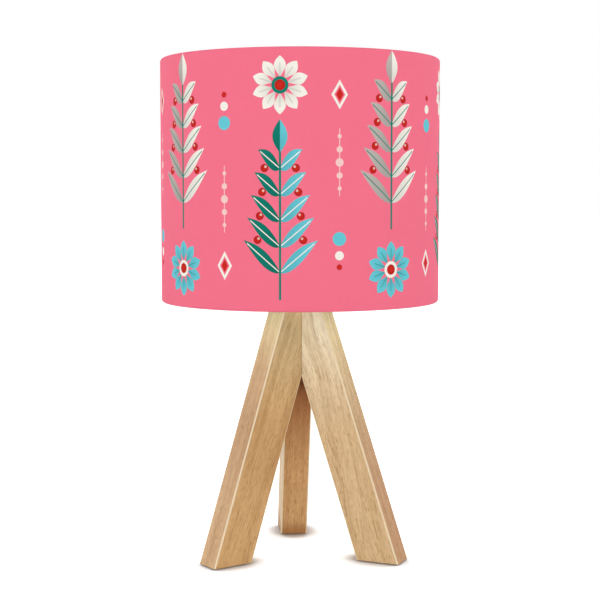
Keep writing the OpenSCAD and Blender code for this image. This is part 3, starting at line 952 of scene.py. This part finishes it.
class LAMP_OT_stem(bpy.types.Operator):
    """Threaded stem with its plate, screws, nuts, washer and cord bush"""

    bl_idname = "lamp.stem"
    bl_label = "Stem"

    def execute(self, context):
        steel = finish_for("zinc_steel")
        dress(steel, "top_plate", "plate_screws")
        self.tube(steel)
        self.nuts(steel)
        self.washer(steel)
        self.bush()
        return {"FINISHED"}

    def tube(self, steel):
        low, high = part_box("stem")
        bore = sizes().stem_bore
        room, depth, pitch, edge = mm(0.05, 0.55, 1.0, 0.4)
        crest = high.x - room
        root = crest - depth
        outline = [
            (root, low.z), (bore + edge, low.z), (bore, low.z + edge / 2), (bore, high.z - edge / 2),
            (bore + edge, high.z), (root, high.z),
        ]
        ends = ((low.z, low.z + edge), (high.z, high.z - edge))
        bm = threaded_mesh([outline], ends, crest, root, pitch, steps=24, points=4)
        finish_piece("stem_tube", bm, steel, "base", "steel", "stem", sharp=25)

    def nuts(self, steel):
        """Two like nuts, spun round and then drawn in to their six flats."""
        nodes = ("lower_nut", "upper_nut")
        bore = sizes().screw_bore
        lead, chamfer, slack = mm(0.4, 0.55, 0.01)
        sides, end_share = 6, 0.98
        low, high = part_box(nodes[0])
        flat = (high.y - low.y) / 2
        half_side = FULL_TURN / (2 * sides)
        corner = flat / math.cos(half_side)
        end = flat * end_share
        bm = bmesh.new()
        for node in nodes:
            low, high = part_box(node)
            outline = [
                (bore, low.z + lead), (bore + lead, low.z), (end, low.z), (corner, low.z + chamfer),
                (corner, high.z - chamfer), (end, high.z), (bore + lead, high.z), (bore, high.z - lead),
            ]
            turn(bm, chain(bm, outline, closed=True), 48)
        for vert in bm.verts:
            reach = vert.co.xy.length
            if reach > corner - slack:
                swing = math.remainder(math.atan2(vert.co.y, vert.co.x), 2 * half_side)
                vert.co.xy *= flat / math.cos(abs(swing) - half_side) / reach
        finish_piece("stem_nuts", bm, steel, "base", "steel", *nodes, sharp=25)

    def washer(self, steel):
        low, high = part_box("lower_washer")
        bore, edge = mm(5.25, 0.2)
        bm = turned_mesh(ring_section(bore, high.x, low.z, high.z), 72, edge)
        finish_piece("stem_washer", bm, steel, "base", "steel", "lower_washer")

    def bush(self):
        low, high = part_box("cord_bush")
        bore, socket = sizes().stem_bore, sizes().screw_bore
        lip, chamfer, edge = mm(2.0, 1.2, 0.5)
        outline = [
            (bore, low.z), (high.x - chamfer, low.z), (high.x, low.z + chamfer), (high.x, high.z),
            (socket, high.z), (socket, low.z + lip), (bore, low.z + lip),
        ]
        bm = turned_mesh(outline, 72, edge)
        finish_piece("cord_grommet", bm, finish_for("black_plastic"), "base", "black_plastic", "cord_bush")


class LAMP_OT_lampholder(bpy.types.Operator):
    """Lampholder with its threaded barrel, screw ring and contacts"""

    bl_idname = "lamp.lampholder"
    bl_label = "Lampholder"

    grips = 24
    grip_steps = 8
    grip_depth = 0.04

    def execute(self, context):
        black = finish_for("black_plastic")
        self.bell(black)
        self.barrel(black)
        self.ring(black)
        dress(finish_for("zinc_steel"), "lock_screw")
        dress(finish_for("ceramic"), "contact_carrier")
        dress(finish_for("brass_strip"), "centre_contact", "side_contact", "terminal_screws")
        return {"FINISHED"}

    def bell(self, black):
        low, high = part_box("holder_cap")
        bore = sizes().screw_bore
        neck, neck_high, wall, well, edge = mm(8.0, 5.0, 2.0, 10.5, 0.35)
        bulge = high.x - neck
        ledge = low.z + neck_high + bulge
        floor = low.z + neck_high + wall
        outline = [(bore, low.z), (neck, low.z)]
        outline += arc((neck, ledge), bulge, -90, 0, 10)
        outline += [
            (high.x, high.z), (high.x - wall, high.z), (high.x - wall, ledge), (well, ledge),
            (well, floor), (bore, floor),
        ]
        bm = turned_mesh(outline, 96, edge)
        finish_piece("holder_bell", bm, black, "base", "black_plastic", "holder_cap", sharp=50)

    def barrel(self, black):
        low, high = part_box("holder_skirt")
        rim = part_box("holder_cap")[1].z
        crest, root, pitch, lead = mm(14.0, 13.3, 2.0, 0.6)
        bore, socket, mouth, plug = mm(10.0, 7.1, 12.2, 12.9)
        flange, chamber, cup, edge = mm(2.0, 5.0, 4.0, 0.5)
        shoulder = rim + flange
        ceiling = shoulder + chamber
        seat = high.z - cup
        outline = [
            (root, shoulder), (high.x - edge, shoulder), (high.x, shoulder - edge), (high.x, rim + edge),
            (high.x - edge, rim), (plug, rim), (plug, low.z), (bore, low.z), (bore, ceiling),
            (socket, ceiling), (socket, seat), (mouth - edge, seat), (mouth, seat + edge),
            (mouth, high.z - edge), (mouth + edge, high.z), (root, high.z),
        ]
        ends = ((shoulder, shoulder + lead), (high.z, high.z - lead))
        bm = threaded_mesh([outline], ends, crest, root, pitch, steps=72, points=6)
        finish_piece("holder_barrel", bm, black, "base", "black_plastic", "holder_skirt", sharp=35)

    def ring(self, black):
        """Screw ring with a plain flange and a wavy grip above it."""
        low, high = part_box("shade_ring")
        bore, body, flange, edge, chamfer = mm(14.2, 18.5, 2.0, 0.5, 0.8)
        grip_reach, slack = mm(17.0, 0.1)
        top = low.z + flange
        outline = [
            (bore, low.z), (high.x - edge, low.z), (high.x, low.z + edge), (high.x, top - edge),
            (high.x - edge, top), (body + edge, top), (body, top + edge), (body, high.z - chamfer),
            (body - chamfer, high.z), (bore + edge, high.z), (bore, high.z - edge),
        ]
        bm = turned_mesh(outline, self.grips * self.grip_steps)
        for vert in bm.verts:
            if vert.co.xy.length > grip_reach and vert.co.z > top + slack:
                wave = (1 + math.cos(self.grips * math.atan2(vert.co.y, vert.co.x))) / 2
                vert.co.xy *= 1 - self.grip_depth * wave ** 2
        finish_piece("ring_nut", bm, black, "retaining_ring", "black_plastic", "shade_ring", sharp=35)


class LAMP_OT_bulb(bpy.types.Operator):
    """Opal globe with its threaded screw cap, insulator and tip"""

    bl_idname = "lamp.bulb"
    bl_label = "Bulb"

    def execute(self, context):
        nickel = finish_for("nickel")
        self.globe(finish_for("opal_glass"))
        self.screw_cap(nickel)
        dress(finish_for("black_plastic"), "bulb_insulator")
        dress(nickel, "bulb_contact")
        return {"FINISHED"}

    def globe(self, opal):
        """A ball with a neck that runs straight from it to the cap."""
        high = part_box("bulb_glass")[1]
        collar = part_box("bulb_cap")[1].z
        radius, neck = high.x, 8.0 * MM
        centre = high.z - radius
        drop = centre - collar
        slope = math.degrees(math.asin(radius / math.hypot(neck, drop)) - math.atan2(neck, drop))
        outline = [(0, collar), (neck, collar)] + arc((0, centre), radius, -slope, 90, 40)
        outline[-1] = (0, high.z)
        bm = turned_mesh(outline, 96)
        finish_piece("globe_glass", bm, opal, "bulb", "opal_glass", "bulb_glass", sharp=60)

    def screw_cap(self, nickel):
        low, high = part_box("bulb_cap")
        collar = high.x
        crest, root, pitch, cone_high = mm(6.9, 6.2, 2.82, 3.5)
        foot_lead, head_lead, gap, lip = mm(0.8, 1.0, 0.4, 0.3)
        step, cone_in, swell_in, swell_high, collar_high = mm(0.2, 1.2, 0.2, 1.3, 1.6)
        cone = high.z - cone_high
        start, end = low.z + foot_lead, cone - head_lead
        foot = [(0, low.z), (root - 2 * lip, low.z), (root, start - gap)]
        head = [
            (root + step, end + gap), (collar - cone_in, cone), (collar - swell_in, cone + swell_high),
            (collar, cone + collar_high), (collar, high.z - lip), (collar - lip, high.z), (0, high.z),
        ]
        ends = ((start - gap, start), (end + gap, end))
        bm = threaded_mesh([foot, head], ends, crest, root, pitch, steps=64, points=8)
        finish_piece("screw_cap", bm, nickel, "bulb", "nickel", "bulb_cap", sharp=40)


class LAMP_OT_shade_frame(bpy.types.Operator):
    """Coated wire frame of the shade"""

    bl_idname = "lamp.shade_frame"
    bl_label = "Shade frame"

    weld_stretch = (0.7, 1.25, 1.0, 1.0)

    def execute(self, context):
        coat = finish_for("coated_wire")
        dress(coat, "fitter_arms", "bottom_ring", "top_ring")
        low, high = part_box("fitter_ring")
        bore, edge, weld_radius, weld_out = mm(14.6, 0.35, 1.9, 0.3)
        bm = turned_mesh(ring_section(bore, high.x, low.z, high.z), 96, edge)
        middle = (low.z + high.z) / 2
        for heading in arm_headings():
            place = Matrix.Rotation(heading, 4, "Z") @ Matrix.Translation((high.x + weld_out, 0, middle))
            weld = place @ Matrix.Diagonal(self.weld_stretch)
            bmesh.ops.create_uvsphere(bm, u_segments=20, v_segments=12, radius=weld_radius, matrix=weld)
        finish_piece("fitter_collar", bm, coat, "shade", "white_wire", "fitter_ring")
        return {"FINISHED"}


class LAMP_OT_shade_lining(bpy.types.Operator):
    """White lining film inside the drum"""

    bl_idname = "lamp.shade_lining"
    bl_label = "Shade lining"

    def execute(self, context):
        size = sizes()
        low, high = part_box("shade_liner")
        outer = size.shade_radius - size.cloth_thickness
        bm = turned_mesh(ring_section(outer - size.lining_thickness, outer, low.z, high.z), 256)
        finish_piece("drum_lining", bm, finish_for("lining_film"), "shade", "white_lining", "shade_liner")
        return {"FINISHED"}


class LAMP_OT_shade_cloth(bpy.types.Operator):
    """Printed cloth of the drum, rolled round both rim wires and lapped at the back"""

    bl_idname = "lamp.shade_cloth"
    bl_label = "Shade cloth"

    steps = 252
    roll_steps = 12
    wall_rows = 12
    hem_turn = 270
    # Stretch of the lower hem's roll, in degrees, that a notch takes away, and its half width in steps
    notch_roll = (90, 248)
    notch_half = 1.01

    def execute(self, context):
        size = sizes()
        half = size.cloth_thickness / 2
        roll = size.wire_thickness / 2 + size.hem_room + half
        wall = size.shade_radius - half
        wire_reach = wall - roll
        low = size.shade_bottom + half + roll
        high = size.shade_top - half - roll
        lower = arc((wire_reach, low), roll, -self.hem_turn, 0, self.roll_steps)
        upper = arc((wire_reach, high), roll, 0, self.hem_turn, self.roll_steps)
        upright = [(wall, low + (high - low) * i / self.wall_rows) for i in range(1, self.wall_rows)]
        printed = finish_for("printed_cloth")
        around = FULL_TURN * size.shade_radius

        bm = bmesh.new()
        self.sweep(bm, lower + upright + upper, FULL_TURN, low)
        self.notch(bm, wire_reach, low, roll)
        cloth = finish_piece("drum_cloth", bm, printed, "shade", "pink_fabric", "shade_fabric", sharp=80)
        self.thicken(cloth)

        bm = bmesh.new()
        lap = size.seam_lap / size.shade_radius
        outside = size.shade_radius + half
        strip = [(outside, height) for _, height in [lower[-1]] + upright + [upper[0]]]
        self.sweep(bm, strip, lap, low, around)
        seam = finish_piece("drum_seam", bm, printed, "shade", "pink_fabric", "shade_fabric", sharp=80)
        self.thicken(seam)

        return {"FINISHED"}

    def sweep(self, bm, points, turned, zero, shift=0.0):
        """Spins the cloth's section from the seam round the drum, and lays its flat pattern out in metres."""
        size = sizes()
        run = bm.verts.layers.float.new("run")
        geom = chain(bm, points)
        spots = geom[:len(points)]
        first = min(spots, key=lambda vert: abs(vert.co.z - zero) - vert.co.x)
        for before, vert in zip(spots, spots[1:]):
            vert[run] = before[run] + (vert.co - before.co).length
        start = first[run]
        turn(bm, geom, self.steps, turned)
        flat = bm.loops.layers.uv.new("cloth")
        for face in bm.faces:
            middle = face.calc_center_median()
            aim = math.atan2(middle.y, middle.x) % FULL_TURN
            for loop in face.loops:
                spot = loop.vert.co
                heading = math.atan2(spot.y, spot.x) % FULL_TURN
                heading += FULL_TURN * round((aim - heading) / FULL_TURN)
                loop[flat].uv = (heading * size.shade_radius + shift, loop.vert[run] - start)
        bm.verts.layers.float.remove(run)
        bmesh.ops.rotate(bm, verts=bm.verts, cent=(0, 0, 0), matrix=Matrix.Rotation(size.seam_turn, 3, "Z"))

    def notch(self, bm, wire_reach, wire_height, roll):
        """Opens the lower hem from its free edge where the frame's arms come through."""
        half = self.notch_half * FULL_TURN / self.steps
        start, end = self.notch_roll
        cut = []
        for face in bm.faces:
            middle = face.calc_center_median()
            heading = math.atan2(middle.y, middle.x)
            near = min(abs(math.remainder(heading - arm, FULL_TURN)) for arm in arm_headings())
            rolled = math.degrees(math.atan2(middle.z - wire_height, middle.xy.length - wire_reach)) % 360
            if near < half and middle.z < wire_height + 2 * roll and start < rolled < end:
                cut.append(face)
        bmesh.ops.delete(bm, geom=cut, context="FACES")

    def thicken(self, piece):
        solid = piece.modifiers.new("thickness", "SOLIDIFY")
        solid.thickness = sizes().cloth_thickness
        solid.offset = 0


class LAMP_PT_panel(bpy.types.Panel):
    """Lists the lamp's sizes, colours and pieces"""

    bl_idname = "LAMP_PT_panel"
    bl_label = "Tripod Table Lamp"
    bl_space_type = "VIEW_3D"
    bl_region_type = "UI"
    bl_category = "Lamp"

    def draw(self, context):
        for operator in OPERATORS:
            self.layout.operator(operator.bl_idname)
        for group in (context.scene.lamp_sizes, context.scene.lamp_colours):
            box = self.layout.box()
            for name in group.bl_rna.properties.keys():
                if name not in {"rna_type", "name"}:
                    box.prop(group, name)


OPERATORS = (
    LAMP_OT_stage,
    LAMP_OT_legs,
    LAMP_OT_feet,
    LAMP_OT_stem,
    LAMP_OT_lampholder,
    LAMP_OT_bulb,
    LAMP_OT_shade_frame,
    LAMP_OT_shade_lining,
    LAMP_OT_shade_cloth,
)
CLASSES = (LampSizes, LampColours, *OPERATORS, LAMP_PT_panel)


def register():
    for cls in CLASSES:
        bpy.utils.register_class(cls)
    bpy.types.Scene.lamp_sizes = PointerProperty(type=LampSizes)
    bpy.types.Scene.lamp_colours = PointerProperty(type=LampColours)


def unregister():
    del bpy.types.Scene.lamp_colours
    del bpy.types.Scene.lamp_sizes
    for cls in reversed(CLASSES):
        bpy.utils.unregister_class(cls)


def main():
    register()
    bpy.ops.lamp.stage()
    bpy.ops.lamp.legs()
    bpy.ops.lamp.feet()
    bpy.ops.lamp.stem()
    bpy.ops.lamp.lampholder()
    bpy.ops.lamp.bulb()
    bpy.ops.lamp.shade_frame()
    bpy.ops.lamp.shade_lining()
    bpy.ops.lamp.shade_cloth()


if __name__ == "__main__":
    main()
